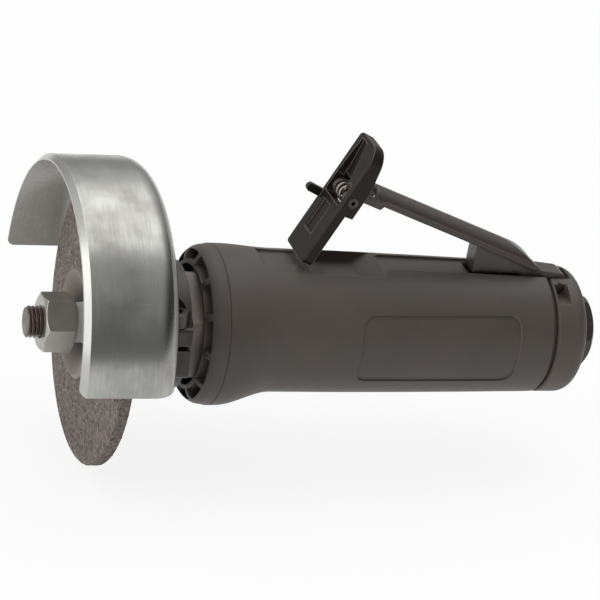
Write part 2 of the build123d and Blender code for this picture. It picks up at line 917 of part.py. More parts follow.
def latch_paddle_block():
    paddle = slab(
        [
            (-latch_front, 0, latch_paddle_start),
            (latch_paddle - latch_front, 0, latch_paddle_start),
            (latch_paddle - latch_front, 0, latch_paddle_bend),
            (latch_paddle_tip - latch_front, 0, latch_top),
            (-latch_front, 0, latch_top),
        ],
        latch_width,
    )
    paddle = chamfer(paddle.edges().filter_by(Axis.Z).group_by(Axis.X)[0], latch_edge)
    near = paddle.edges().filter_by(Axis.X).group_by(Axis.Z)[-1].sort_by(Axis.Y)[0]
    paddle = fillet(near, latch_near_round)
    far = paddle.edges().filter_by(Axis.X).group_by(Axis.Z)[-1].sort_by(Axis.Y)[-1]
    return fillet(far, latch_far_round)


def latch_cheek_plate():
    back = latch_plate - latch_front
    front = latch_edge - latch_front
    return slab(
        [
            (front, 0, -2 * latch_lobe_low),
            (back, 0, -2 * latch_lobe_low),
            (back, 0, -latch_lobe_low),
            (latch_lobe, 0, -latch_lobe_low + latch_edge),
            (latch_lobe, 0, latch_window_high),
            (latch_paddle - latch_front, 0, latch_paddle_bend),
            (front, 0, latch_paddle_bend),
        ],
        latch_cheek,
    )


def latch_tab():
    long_slot = SlotOverall(2 * latch_tab_reach, latch_tab_height)
    tab = extrude(Plane.XZ * Pos(-latch_front, -latch_tab_drop) * long_slot, latch_cheek / 2, both=True)
    return tab & block((-latch_front - 2 * latch_tab_reach, 0), (-1, 1), (-latch_foot, 0))


def thumb_recess():
    outline = Polyline(
        (recess_far, latch_window_high - 1),
        (recess_far_top, recess_top),
        (recess_near_top, recess_top),
        (-recess_near, latch_window_high - 1),
        close=True,
    )
    prism = extrude(Plane.YZ * make_face(outline), latch_width, both=True)
    depth = slab(
        [
            (-latch_width, 0, 0),
            (recess_deep - latch_front, 0, 0),
            (recess_deep - latch_front, 0, latch_paddle_start),
            (recess_shallow - latch_front, 0, latch_top),
            (-latch_width, 0, latch_top),
        ],
        2 * latch_width,
    )
    return prism & depth


def make_lock_latch():
    return Pos(latch_x, 0, latch_z) * Rot(0, latch_lean, 0) * upright_latch()


def latch_spring_edges():
    coil = helix_edges(spring_radius, spring_pitch, spring_turns)
    start, start_way = coil[0] @ 0, coil[0] % 0
    end, end_way = coil[-1] @ 1, coil[-1] % 1
    long_leg = Line(start - start_way * spring_long_leg, start)
    short_leg = Line(end, end + end_way * spring_short_leg)
    half_length = spring_turns * spring_pitch / 2
    spring_plane = Plane(
        origin=(latch_x, half_length - spring_shift, latch_z),
        x_dir=lever_plane.y_dir,
        z_dir=lever_plane.z_dir,
    )
    return [spring_plane.location * edge for edge in [long_leg] + coil + [short_leg]]


def save(name, shape):
    export_step(shape, f"parts/{name}.step")


front_outer, front_inner = bearing_rings(bearing_start, bearing_end, bearing_radius, journal_radius)
rear_outer, rear_inner = bearing_rings(
    rear_bearing_start, rear_bearing_end, rear_bearing_radius, rear_journal_radius
)
latch_spring_path = latch_spring_edges()
valve_spring_path = valve_spring_edges()
print("latch spring gap to itself", round(self_gap(latch_spring_path, spring_wire), 2))
print("valve spring gap to itself", round(self_gap(valve_spring_path, valve_spring_wire), 2))

pieces = {
    "spindle": make_spindle(),
    "wheel_nut": make_wheel_nut(),
    "outer_flange": make_outer_flange(),
    "cutting_wheel": make_wheel(),
    "inner_flange": make_inner_flange(),
    "rotor": make_rotor(),
    "rotor_vanes": make_vanes(),
    "front_bearing_inner": front_inner,
    "rear_bearing_inner": rear_inner,
    "guard_shell": make_guard_shell(),
    "guard_hub": make_guard_hub(),
    "guard_collar": make_guard_collar(),
    "guard_screw": make_guard_screw(),
    "grip_housing": make_grip_housing(),
    "exhaust_nose": make_exhaust_nose(),
    "clamp_nut": make_clamp_nut(),
    "exhaust_felt": make_felt(),
    "front_bearing_outer": front_outer,
    "rear_bearing_outer": rear_outer,
    "front_end_plate": make_front_plate(),
    "motor_cylinder": make_cylinder(),
    "rear_end_plate": make_rear_plate(),
    "front_gasket": tube(bearing_end, motor_front, motor_radius, bearing_radius - 3.0),
    "rear_gasket": tube(motor_rear, motor_rear + gasket_thickness, motor_radius, rear_bearing_radius),
    "end_cap": make_end_cap(),
    "end_cap_seal": make_seal(),
    "inlet_bushing": make_inlet_bushing(),
    "inlet_screen": make_inlet_screen(),
    "valve_bush": make_valve_bush(),
    "valve_spring": wire_sweep(valve_spring_path, valve_spring_wire),
    "throttle_pin": make_throttle_pin(),
    "throttle_valve": make_throttle_valve(),
    "lever_pin": cross_pin(hinge_x, hinge_z, hinge_pin_half, hinge_pin_radius),
    "throttle_lever": make_throttle_lever(),
    "latch_pin": make_latch_pin(),
    "lock_latch": make_lock_latch(),
    "latch_spring": wire_sweep(latch_spring_path, spring_wire),
}

os.makedirs("parts", exist_ok=True)
for name, shape in pieces.items():
    save(name, shape)
print(len(pieces), "pieces written")
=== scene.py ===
import math

import bmesh
import bpy
from mathutils import Matrix, Vector


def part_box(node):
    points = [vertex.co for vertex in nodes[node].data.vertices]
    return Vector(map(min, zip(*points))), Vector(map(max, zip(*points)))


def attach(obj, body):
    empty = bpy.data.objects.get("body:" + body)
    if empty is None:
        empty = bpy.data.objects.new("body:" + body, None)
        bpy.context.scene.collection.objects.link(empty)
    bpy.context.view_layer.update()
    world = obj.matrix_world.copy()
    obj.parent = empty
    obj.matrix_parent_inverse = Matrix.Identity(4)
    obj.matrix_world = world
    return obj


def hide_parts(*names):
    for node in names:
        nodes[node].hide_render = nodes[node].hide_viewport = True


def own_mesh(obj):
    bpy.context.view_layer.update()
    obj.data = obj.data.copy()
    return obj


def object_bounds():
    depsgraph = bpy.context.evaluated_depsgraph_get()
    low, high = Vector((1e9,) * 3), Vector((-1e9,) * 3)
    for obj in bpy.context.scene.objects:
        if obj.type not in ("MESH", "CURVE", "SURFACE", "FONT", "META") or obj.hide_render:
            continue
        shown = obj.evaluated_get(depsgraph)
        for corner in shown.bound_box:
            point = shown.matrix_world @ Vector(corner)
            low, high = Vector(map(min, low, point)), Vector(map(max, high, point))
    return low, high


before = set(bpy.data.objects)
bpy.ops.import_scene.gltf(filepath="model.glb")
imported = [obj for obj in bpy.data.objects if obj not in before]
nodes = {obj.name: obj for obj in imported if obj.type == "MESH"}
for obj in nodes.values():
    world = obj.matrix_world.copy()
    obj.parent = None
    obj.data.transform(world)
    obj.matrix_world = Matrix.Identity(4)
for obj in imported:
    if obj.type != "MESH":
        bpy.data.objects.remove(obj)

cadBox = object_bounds()
mm = 0.001
scene = bpy.context.scene
scene.view_settings.view_transform = "Standard"
print("frame loaded:", len(nodes), "pieces")

# camera as in the photograph: a long lens, the tool rolled a little in the picture
cameraSet = {
    "target": (75.0, 0.0, 7.66),
    "distance": 800.0,
    "azimuth": -21.85,
    "elevation": 25.3,
    "roll": 10.6,
    "lens": 176.2,
    "sensor": 36.0,
    "clipStart": 10.0,
}


def makeCamera(s):
    a, e, r = (math.radians(s[k]) for k in ("azimuth", "elevation", "roll"))
    back = Vector((math.sin(a) * math.cos(e), -math.cos(a) * math.cos(e), math.sin(e)))
    right = Vector((math.cos(a), math.sin(a), 0))
    up = back.cross(right)
    right, up = right * math.cos(r) + up * math.sin(r), up * math.cos(r) - right * math.sin(r)
    data = bpy.data.cameras.new("photoCamera")
    data.lens = s["lens"]
    data.sensor_width = s["sensor"]
    data.clip_start = s["clipStart"] * mm
    cam = bpy.data.objects.new("photoCamera", data)
    scene.collection.objects.link(cam)
    spot = (Vector(s["target"]) + back * s["distance"]) * mm
    turn = Matrix((right, up, back)).transposed().to_4x4()
    cam.matrix_world = Matrix.Translation(spot) @ turn
    scene.camera = cam


makeCamera(cameraSet)
print("camera placed")


# small helpers for materials
def linear(hexColour):
    parts = [int(hexColour[i:i + 2], 16) / 255 for i in (1, 3, 5)]
    return tuple(p / 12.92 if p <= 0.04045 else ((p + 0.055) / 1.055) ** 2.4 for p in parts) + (1.0,)


def grey(level):
    return (level, level, level, 1.0)


def cellSize(sizeMm):
    return 1 / (sizeMm * mm)


# adds a node with its settings, socket values, links and, on a colour ramp, its stops in order
def addNode(tree, kind, settings=None, values=None, links=None, stops=()):
    node = tree.nodes.new(kind)
    for key, value in (settings or {}).items():
        setattr(node, key, value)
    for key, value in (values or {}).items():
        node.inputs[key].default_value = value
    for key, source in (links or {}).items():
        tree.links.new(source, node.inputs[key])
    for i, (at, colour) in enumerate(stops):
        band = node.color_ramp.elements
        stop = band[i] if i < len(band) else band.new(at)
        stop.position = at
        stop.color = colour
    return node


def newMaterial(name, values):
    mat = bpy.data.materials.new(name)
    mat.use_nodes = True
    tree = mat.node_tree
    tree.nodes.clear()
    shader = addNode(tree, "ShaderNodeBsdfPrincipled", values=values)
    addNode(tree, "ShaderNodeOutputMaterial", links={"Surface": shader.outputs["BSDF"]})
    spot = addNode(tree, "ShaderNodeTexCoord").outputs["Object"]
    return mat, tree, shader, spot


# distance from the spindle axis, and the turn about it, of a point on a turned piece
def roundCoords(tree, spot):
    parts = addNode(tree, "ShaderNodeSeparateXYZ", links={"Vector": spot})
    turn = addNode(tree, "ShaderNodeMath", {"operation": "ARCTAN2"},
                   links={0: parts.outputs["Y"], 1: parts.outputs["Z"]})
    flat = addNode(tree, "ShaderNodeCombineXYZ", links={"Y": parts.outputs["Y"], "Z": parts.outputs["Z"]})
    reach = addNode(tree, "ShaderNodeVectorMath", {"operation": "LENGTH"},
                    links={0: flat.outputs["Vector"]})
    return parts.outputs["X"], turn.outputs[0], reach.outputs["Value"]


# edges eased over a width, as moulded and tumbled pieces have them, and how far a point lies on such
# an edge, from the cosine between its eased and its flat normal: where the paler edge tone, partly wear and
# partly a painted highlight, starts and where it is full
edgeSet = {
    "samples": 8,
    "wearAndHighlightStarts": 0.985,
    "wearAndHighlightFull": 0.85,
}


def easedEdges(tree, widthMm):
    eased = addNode(tree, "ShaderNodeBevel", {"samples": edgeSet["samples"]}, {"Radius": widthMm * mm})
    face = addNode(tree, "ShaderNodeNewGeometry")
    lean = addNode(tree, "ShaderNodeVectorMath", {"operation": "DOT_PRODUCT"},
                   links={0: eased.outputs["Normal"], 1: face.outputs["Normal"]})
    # mask for the paler edge tone, which is partly rubbed wear and partly a painted highlight
    edgeWearAndHighlight = addNode(tree, "ShaderNodeMapRange",
                     values={"From Min": edgeSet["wearAndHighlightStarts"], "From Max": edgeSet["wearAndHighlightFull"]},
                     links={"Value": lean.outputs["Value"]})
    return eased.outputs["Normal"], edgeWearAndHighlight.outputs["Result"]


# drawn and zinc plated steel: satin, faint lines round the skirt, sparse scratches along the tool,
# dull smudges, dust inside, and a painted highlight on the front lip
guardSet = {
    "pale": "#b0b0ac",
    "dull": "#92918d",
    "dusty": "#aba9a4",
    "scratched": "#c4c4c0",
    # a paler tone painted on the front lip as its highlight, and how far back from the front it reaches
    "lipHighlight": "#b9b9b5",
    "lipHighlightEnds": 4.9,
    "rough": (0.2, 0.33),
    "skirtRadius": 44.0,
    "insideRadius": 43.4,
    "insideBack": 28.6,
    "insideMetallic": 0.3,
    "drawLineMm": 0.45,
    "drawLineStretch": 0.06,
    "drawLineShare": 0.3,
    "drawLineDepthMm": 0.012,
    "drawLineBump": 0.5,
    "scratchMm": 0.5,
    "scratchStretch": 0.07,
    "scratchFrom": 0.66,
    "scratchFull": 0.8,
    "scratchStrength": 0.3,
    "smudgeMm": 11.0,
    "toneStops": (0.45, 0.8),
    "roughStops": (0.45, 0.85),
}


def makeDrawnZinc(name, s):
    mat, tree, shader, spot = newMaterial(name, {})
    along, turn, reach = roundCoords(tree, spot)
    within = addNode(tree, "ShaderNodeMath", {"operation": "LESS_THAN"}, {1: s["insideRadius"] * mm},
                     {0: reach})
    ahead = addNode(tree, "ShaderNodeMath", {"operation": "LESS_THAN"}, {1: s["insideBack"] * mm},
                    {0: along})
    inside = addNode(tree, "ShaderNodeMath", {"operation": "MULTIPLY"},
                     links={0: within.outputs[0], 1: ahead.outputs[0]})
    metal = addNode(tree, "ShaderNodeMath", {"operation": "MULTIPLY_ADD"},
                    {1: s["insideMetallic"] - 1.0, 2: 1.0}, {0: inside.outputs[0]})
    tree.links.new(metal.outputs[0], shader.inputs["Metallic"])
    arc = addNode(tree, "ShaderNodeMath", {"operation": "MULTIPLY"}, {1: s["skirtRadius"] * mm}, {0: turn})
    drawn = addNode(tree, "ShaderNodeMath", {"operation": "MULTIPLY"}, {1: s["drawLineStretch"]},
                    {0: arc.outputs[0]})
    drawnSpot = addNode(tree, "ShaderNodeCombineXYZ",
                        links={"X": along, "Y": drawn.outputs[0], "Z": reach})
    lines = addNode(tree, "ShaderNodeTexNoise",
                    values={"Scale": cellSize(s["drawLineMm"]), "Detail": 4.0, "Roughness": 0.6},
                    links={"Vector": drawnSpot.outputs["Vector"]})
    slow = addNode(tree, "ShaderNodeMath", {"operation": "MULTIPLY"}, {1: s["scratchStretch"]}, {0: along})
    scratchSpot = addNode(tree, "ShaderNodeCombineXYZ",
                          links={"X": slow.outputs[0], "Y": arc.outputs[0], "Z": reach})
    scratch = addNode(tree, "ShaderNodeTexNoise", values={"Scale": cellSize(s["scratchMm"]), "Detail": 2.0},
                      links={"Vector": scratchSpot.outputs["Vector"]})
    marks = addNode(tree, "ShaderNodeValToRGB", links={"Fac": scratch.outputs["Fac"]},
                    stops=[(s["scratchFrom"], grey(0.0)), (s["scratchFull"], grey(s["scratchStrength"]))])
    cloud = addNode(tree, "ShaderNodeTexNoise",
                    values={"Scale": cellSize(s["smudgeMm"]), "Detail": 3.0, "Roughness": 0.5},
                    links={"Vector": spot})
    mixed = addNode(tree, "ShaderNodeMath", {"operation": "MULTIPLY_ADD"}, {1: s["drawLineShare"]},
                    {0: lines.outputs["Fac"], 2: cloud.outputs["Fac"]})
    skin = addNode(tree, "ShaderNodeValToRGB", links={"Fac": mixed.outputs[0]},
                   stops=[(s["toneStops"][0], linear(s["dull"])), (s["toneStops"][1], linear(s["pale"]))])
    scored = addNode(tree, "ShaderNodeMixRGB", values={"Color2": linear(s["scratched"])},
                     links={"Fac": marks.outputs["Color"], "Color1": skin.outputs["Color"]})
    # painted highlight: the front lip takes the paler tone
    lipHighlight = addNode(tree, "ShaderNodeMath", {"operation": "LESS_THAN"}, {1: s["lipHighlightEnds"] * mm}, {0: along})
    lipHighlighted = addNode(tree, "ShaderNodeMixRGB", values={"Color2": linear(s["lipHighlight"])},
                     links={"Fac": lipHighlight.outputs[0], "Color1": scored.outputs["Color"]})
    dusted = addNode(tree, "ShaderNodeMixRGB", values={"Color2": linear(s["dusty"])},
                     links={"Fac": inside.outputs[0], "Color1": lipHighlighted.outputs["Color"]})
    tree.links.new(dusted.outputs["Color"], shader.inputs["Base Color"])
    rough = addNode(tree, "ShaderNodeValToRGB", links={"Fac": mixed.outputs[0]},
                    stops=[(at, grey(level)) for at, level in zip(s["roughStops"], reversed(s["rough"]))])
    tree.links.new(rough.outputs["Color"], shader.inputs["Roughness"])
    bump = addNode(tree, "ShaderNodeBump",
                   values={"Strength": s["drawLineBump"], "Distance": s["drawLineDepthMm"] * mm},
                   links={"Height": lines.outputs["Fac"]})
    tree.links.new(bump.outputs["Normal"], shader.inputs["Normal"])
    return mat


# steel with an oxide, phosphate or zinc skin: a slightly uneven tone, a fine dull grain,
# and brighter edges, partly rubbed wear and partly a painted highlight
steelSets = {
    "dullZincSteel": {"tones": ("#a6a39d", "#b6b3ac"), "edgeWearAndHighlight": "#e6e4de", "rough": (0.32, 0.4),
                      "patchMm": 5.0, "metallic": 0.85, "edgeMm": 0.3},
    "brightSpringSteel": {"tones": ("#8e8681", "#b3aaa4"), "edgeWearAndHighlight": "#b3aaa4", "rough": (0.34, 0.46),
                          "patchMm": 2.0, "metallic": 1.0, "edgeMm": 0.05},
    "oxidedPinSteel": {"tones": ("#3d3834", "#58524c"), "edgeWearAndHighlight": "#746d66", "rough": (0.3, 0.42),
                       "patchMm": 2.0, "metallic": 1.0, "edgeMm": 0.12},
    "oiledBrownSteel": {"tones": ("#544a44", "#7d7068"), "edgeWearAndHighlight": "#8b7e75", "rough": (0.32, 0.45),
                        "patchMm": 2.5, "metallic": 1.0, "edgeMm": 0.12},
    "blackOxideSteel": {"tones": ("#3b3632", "#4d4642"), "edgeWearAndHighlight": "#6f6862", "rough": (0.36, 0.48),
                        "patchMm": 4.0, "metallic": 0.5, "edgeMm": 0.3},
    "greyPhosphatedSteel": {"tones": ("#766d67", "#867c75"), "edgeWearAndHighlight": "#9a9089", "rough": (0.4, 0.52),
                            "patchMm": 4.0, "metallic": 0.2, "edgeMm": 0.3},
    "oxidedScrewSteel": {"tones": ("#443f3a", "#5c5751"), "edgeWearAndHighlight": "#7d7770", "rough": (0.3, 0.4),
                         "patchMm": 2.0, "metallic": 0.8, "edgeMm": 0.2},
    "phosphatedSteel": {"tones": ("#352b27", "#443833"), "edgeWearAndHighlight": "#544843", "rough": (0.38, 0.52),
                        "patchMm": 3.0, "metallic": 0.4, "edgeMm": 0.3},
}
# the fine grain is this much smaller than the patches of tone
steelGrain = {
    "perPatch": 8,
    "stops": (0.3, 0.7),
    "depthMm": 0.01,
    "bump": 0.4,
}


def makePlatedSteel(name, s):
    g = steelGrain
    mat, tree, shader, spot = newMaterial(name, {"Metallic": s["metallic"]})
    eased, edgeWearAndHighlight = easedEdges(tree, s["edgeMm"])
    patch = addNode(tree, "ShaderNodeTexNoise",
                    values={"Scale": cellSize(s["patchMm"]), "Detail": 3.0, "Roughness": 0.5},
                    links={"Vector": spot})
    fine = addNode(tree, "ShaderNodeTexNoise",
                   values={"Scale": cellSize(s["patchMm"] / g["perPatch"]), "Detail": 3.0},
                   links={"Vector": spot})
    tone = addNode(tree, "ShaderNodeValToRGB", links={"Fac": patch.outputs["Fac"]},
                   stops=[(at, linear(colour)) for at, colour in zip(g["stops"], s["tones"])])
    # paler edges: partly rubbed wear, partly a painted highlight
    wornAndHighlighted = addNode(tree, "ShaderNodeMixRGB", values={"Color2": linear(s["edgeWearAndHighlight"])},
                   links={"Fac": edgeWearAndHighlight, "Color1": tone.outputs["Color"]})
    tree.links.new(wornAndHighlighted.outputs["Color"], shader.inputs["Base Color"])
    rough = addNode(tree, "ShaderNodeValToRGB", links={"Fac": fine.outputs["Fac"]},
                    stops=[(at, grey(level)) for at, level in zip(g["stops"], s["rough"])])
    tree.links.new(rough.outputs["Color"], shader.inputs["Roughness"])
    bump = addNode(tree, "ShaderNodeBump", values={"Strength": g["bump"], "Distance": g["depthMm"] * mm},
                   links={"Height": fine.outputs["Fac"], "Normal": eased})
    tree.links.new(bump.outputs["Normal"], shader.inputs["Normal"])
    return mat


# turned flange: bright zinc on the hub, with its reflection painted in as a near-white matt tone, a rubbed
# rim, and painted shade on the dished face between them, dark by the hub and lighter towards the rim
flangeSet = {
    # the hub's near-white is bright zinc with a painted reflection
    "hub": "#dfe3e0",
    # painted shade on the dished face: darkest next to the hub, lighter towards the rim
    "dishShade": "#2a2420",
    "dishShadeOuter": "#81766e",
    "rim": "#8f8a85",
    "hubRadius": 5.45,
    "rimRadius": 14.0,
    "reach": 20.0,
    "metallic": (0.05, 0.02, 0.1, 0.8),
    "gloss": 0.15,
    "rough": (0.46, 0.6),
    "roughStops": (0.3, 0.7),
    "hubFade": 0.02,
    "rimFade": 0.01,
    "turnLineMm": 0.3,
    "turnLineDepthMm": 0.012,
    "turnLineBump": 0.5,
}


def makeTurnedFlange(name, s):
    mat, tree, shader, spot = newMaterial(name, {"Specular IOR Level": s["gloss"]})
    along, _, reach = roundCoords(tree, spot)
    ring = addNode(tree, "ShaderNodeCombineXYZ", links={"X": along, "Y": reach})
    lines = addNode(tree, "ShaderNodeTexNoise", values={"Scale": cellSize(s["turnLineMm"]), "Detail": 2.0},
                    links={"Vector": ring.outputs["Vector"]})
    share = addNode(tree, "ShaderNodeMath", {"operation": "DIVIDE"}, {1: s["reach"] * mm}, {0: reach})
    hub, rim = s["hubRadius"] / s["reach"], s["rimRadius"] / s["reach"]
    places = (hub, hub + s["hubFade"], rim - s["rimFade"], rim + s["rimFade"])
    # hub with a painted reflection, then the dish's painted shade from dark to lighter, then the rubbed rim
    tones = (s["hub"], s["dishShade"], s["dishShadeOuter"], s["rim"])
    colour = addNode(tree, "ShaderNodeValToRGB", links={"Fac": share.outputs[0]},
                     stops=[(at, linear(tone)) for at, tone in zip(places, tones)])
    tree.links.new(colour.outputs["Color"], shader.inputs["Base Color"])
    metal = addNode(tree, "ShaderNodeValToRGB", links={"Fac": share.outputs[0]},
                    stops=[(at, grey(level)) for at, level in zip(places, s["metallic"])])
    tree.links.new(metal.outputs["Color"], shader.inputs["Metallic"])
    rough = addNode(tree, "ShaderNodeValToRGB", links={"Fac": lines.outputs["Fac"]},
                    stops=[(at, grey(level)) for at, level in zip(s["roughStops"], s["rough"])])
    tree.links.new(rough.outputs["Color"], shader.inputs["Roughness"])
    bump = addNode(tree, "ShaderNodeBump",
                   values={"Strength": s["turnLineBump"], "Distance": s["turnLineDepthMm"] * mm},
                   links={"Height": lines.outputs["Fac"]})
    tree.links.new(bump.outputs["Normal"], shader.inputs["Normal"])
    return mat


# glass-filled nylon, moulded in a spark-eroded tool: dull, with an even fine grain, faint flow marks and
# paler edges, partly rubbed wear and partly a painted highlight; the lever's satin paint over pressed steel
# has the same look with more gloss
nylonSets = {
    "mouldedNylonGrip": {"tones": ("#4b4540", "#564f4a"), "edgeWearAndHighlight": "#635b56", "rough": 0.5,
                         "gloss": 0.32, "grainDepthMm": 0.02, "edgeMm": 0.5},
    "mouldedNylonCap": {"tones": ("#4f4742", "#59514c"), "edgeWearAndHighlight": "#685f5a", "rough": 0.5,
                        "gloss": 0.32, "grainDepthMm": 0.02, "edgeMm": 0.5},
    "satinPaintedLever": {"tones": ("#3a322d", "#433b36"), "edgeWearAndHighlight": "#5b524c", "rough": 0.34,
                          "gloss": 0.45, "grainDepthMm": 0.012, "edgeMm": 1.2},
    "mouldedNylonLatch": {"tones": ("#1f1915", "#27201d"), "edgeWearAndHighlight": "#877d76", "rough": 0.4,
                          "gloss": 0.16, "grainDepthMm": 0.01, "edgeMm": 0.35},
}
# the real grain is finer than a pixel, so it is drawn as coarse as it needs to show
nylonGrain = {
    "grainMm": 0.5,
    "flowMm": 26.0,
    "grainShare": 0.35,
    "stops": (0.45, 0.95),
    "roughSpread": (-0.04, 0.05),
    "bump": 0.6,
}


def makeMouldedNylon(name, s):
    g = nylonGrain
    mat, tree, shader, spot = newMaterial(name, {"IOR": 1.53, "Specular IOR Level": s["gloss"]})
    eased, edgeWearAndHighlight = easedEdges(tree, s["edgeMm"])
    grain = addNode(tree, "ShaderNodeTexNoise",
                    values={"Scale": cellSize(g["grainMm"]), "Detail": 2.0, "Roughness": 0.6},
                    links={"Vector": spot})
    flow = addNode(tree, "ShaderNodeTexNoise", values={"Scale": cellSize(g["flowMm"]), "Detail": 3.0},
                   links={"Vector": spot})
    mixed = addNode(tree, "ShaderNodeMath", {"operation": "MULTIPLY_ADD"}, {1: g["grainShare"]},
                    {0: grain.outputs["Fac"], 2: flow.outputs["Fac"]})
    tone = addNode(tree, "ShaderNodeValToRGB", links={"Fac": mixed.outputs[0]},
                   stops=[(at, linear(colour)) for at, colour in zip(g["stops"], s["tones"])])
    # paler edges: partly rubbed wear, partly a painted highlight
    wornAndHighlighted = addNode(tree, "ShaderNodeMixRGB", values={"Color2": linear(s["edgeWearAndHighlight"])},
                   links={"Fac": edgeWearAndHighlight, "Color1": tone.outputs["Color"]})
    tree.links.new(wornAndHighlighted.outputs["Color"], shader.inputs["Base Color"])
    rough = addNode(tree, "ShaderNodeValToRGB", links={"Fac": mixed.outputs[0]},
                    stops=[(at, grey(s["rough"] + more)) for at, more in zip(g["stops"], g["roughSpread"])])
    tree.links.new(rough.outputs["Color"], shader.inputs["Roughness"])
    bump = addNode(tree, "ShaderNodeBump",
                   values={"Strength": g["bump"], "Distance": s["grainDepthMm"] * mm},
                   links={"Height": grain.outputs["Fac"], "Normal": eased})
    tree.links.new(bump.outputs["Normal"], shader.inputs["Normal"])
    return mat


# resin-bonded abrasive: grey-brown bond with darker and paler grains, dull all over
abrasiveSets = {
    "resinBondedAbrasive": {"bond": "#6f6661", "dark": "#4a423e", "pale": "#8c817a", "grainMm": 0.8},
    "bareAbrasiveGrit": {"bond": "#7a716b", "dark": "#4f4743", "pale": "#9a8f88", "grainMm": 0.9},
}
abrasiveGrain = {
    "tones": ("dark", "bond", "bond", "pale"),
    "stops": (0.0, 0.3, 0.75, 1.0),
    "depthMm": 0.2,
    "bump": 0.8,
}


def makeAbrasive(name, s):
    g = abrasiveGrain
    mat, tree, shader, spot = newMaterial(name, {"Roughness": 0.92, "IOR": 1.5, "Specular IOR Level": 0.3})
    grains = addNode(tree, "ShaderNodeTexVoronoi", {"feature": "F1"}, {"Scale": cellSize(s["grainMm"])},
                     {"Vector": spot})
    tone = addNode(tree, "ShaderNodeSeparateColor", links={"Color": grains.outputs["Color"]})
    colour = addNode(tree, "ShaderNodeValToRGB", links={"Fac": tone.outputs["Red"]},
                     stops=[(at, linear(s[key])) for at, key in zip(g["stops"], g["tones"])])
    tree.links.new(colour.outputs["Color"], shader.inputs["Base Color"])
    bump = addNode(tree, "ShaderNodeBump", values={"Strength": g["bump"], "Distance": g["depthMm"] * mm},
                   links={"Height": grains.outputs["Distance"]})
    tree.links.new(bump.outputs["Normal"], shader.inputs["Normal"])
    return mat


# soft or hidden pieces: ground, polished or machined metal, rubber, resin and oily felt, each with
# its own grain
innerSets = {
    "polishedBearingSteel": {"tones": ("#b5b5b5", "#c8c8c8"), "rough": 0.2, "metallic": 1.0,
                             "grainMm": 3.0},
    "groundCastIron": {"tones": ("#5c5c5c", "#787878"), "rough": 0.45, "metallic": 1.0, "grainMm": 1.0},
    "machinedVaneResin": {"tones": ("#6b4325", "#8a5a34"), "rough": 0.6, "metallic": 0.0, "grainMm": 0.8},
    "blackSealRubber": {"tones": ("#1b1918", "#272322"), "rough": 0.75, "metallic": 0.0, "grainMm": 0.6},
    "greySealRubber": {"tones": ("#433c38", "#4c4540"), "rough": 0.8, "metallic": 0.0, "grainMm": 0.6},
    "pressedOilyFelt": {"tones": ("#877c73", "#a3998f"), "rough": 0.98, "metallic": 0.0, "grainMm": 0.4},
    "machinedBrass": {"tones": ("#a5853f", "#c8a860"), "rough": 0.3, "metallic": 1.0, "grainMm": 1.2},
}
innerGrain = {
    "stops": (0.3, 0.7),
    "depthMm": 0.05,
    "bump": 0.5,
}


def makeGrained(name, s):
    g = innerGrain
    mat, tree, shader, spot = newMaterial(name, {"Roughness": s["rough"], "Metallic": s["metallic"]})
    grain = addNode(tree, "ShaderNodeTexNoise", values={"Scale": cellSize(s["grainMm"]), "Detail": 4.0},
                    links={"Vector": spot})
    tone = addNode(tree, "ShaderNodeValToRGB", links={"Fac": grain.outputs["Fac"]},
                   stops=[(at, linear(colour)) for at, colour in zip(g["stops"], s["tones"])])
    tree.links.new(tone.outputs["Color"], shader.inputs["Base Color"])
    bump = addNode(tree, "ShaderNodeBump", values={"Strength": g["bump"], "Distance": g["depthMm"] * mm},
                   links={"Height": grain.outputs["Fac"]})
    tree.links.new(bump.outputs["Normal"], shader.inputs["Normal"])
    return mat


def makeFinishes():
    made = {
        "drawnZincSteel": makeDrawnZinc("drawnZincSteel", guardSet),
        "turnedFlangeSteel": makeTurnedFlange("turnedFlangeSteel", flangeSet),
    }
    families = (
        (makePlatedSteel, steelSets),
        (makeMouldedNylon, nylonSets),
        (makeAbrasive, abrasiveSets),
        (makeGrained, innerSets),
    )
    for make, sets in families:
        for name, s in sets.items():
            made[name] = make(name, s)
    return made


materials = makeFinishes()

# which pieces of the solid model get which finish
finishes = {
    "drawnZincSteel": ("guard_shell", "guard_hub"),
    "dullZincSteel": ("wheel_nut",),
    "brightSpringSteel": ("latch_spring", "valve_spring"),
    "oxidedPinSteel": ("latch_pin", "lever_pin", "throttle_pin"),
    "oiledBrownSteel": ("spindle",),
    "blackOxideSteel": ("guard_collar", "inner_flange"),
    "greyPhosphatedSteel": ("clamp_nut",),
    "oxidedScrewSteel": ("guard_screw",),
    "turnedFlangeSteel": ("outer_flange",),
    "phosphatedSteel": ("inlet_bushing",),
    "mouldedNylonGrip": ("grip_housing", "exhaust_nose"),
    "mouldedNylonCap": ("end_cap",),
    "satinPaintedLever": ("throttle_lever",),
    "mouldedNylonLatch": ("lock_latch",),
    "resinBondedAbrasive": ("cutting_wheel",),
    "polishedBearingSteel": ("front_bearing_inner", "front_bearing_outer",
                             "rear_bearing_inner", "rear_bearing_outer"),
    "groundCastIron": ("rotor", "motor_cylinder", "front_end_plate", "rear_end_plate"),
    "machinedVaneResin": ("rotor_vanes",),
    "blackSealRubber": ("front_gasket", "rear_gasket", "throttle_valve"),
    "greySealRubber": ("end_cap_seal",),
    "pressedOilyFelt": ("exhaust_felt",),
    "machinedBrass": ("inlet_screen", "valve_bush"),
}


def paintNodes(table):
    for finish, names in table.items():
        for name in names:
            slots = nodes[name].data.materials
            slots.clear()
            slots.append(materials[finish])


paintNodes(finishes)
print("finishes set:", sum(len(names) for names in finishes.values()), "pieces")


# a point at a turn from the top towards the near side, at a radius from the spindle axis
def roundPoint(x, radius, turn):
    return Vector((x, -radius * math.sin(turn), radius * math.cos(turn))) * mm


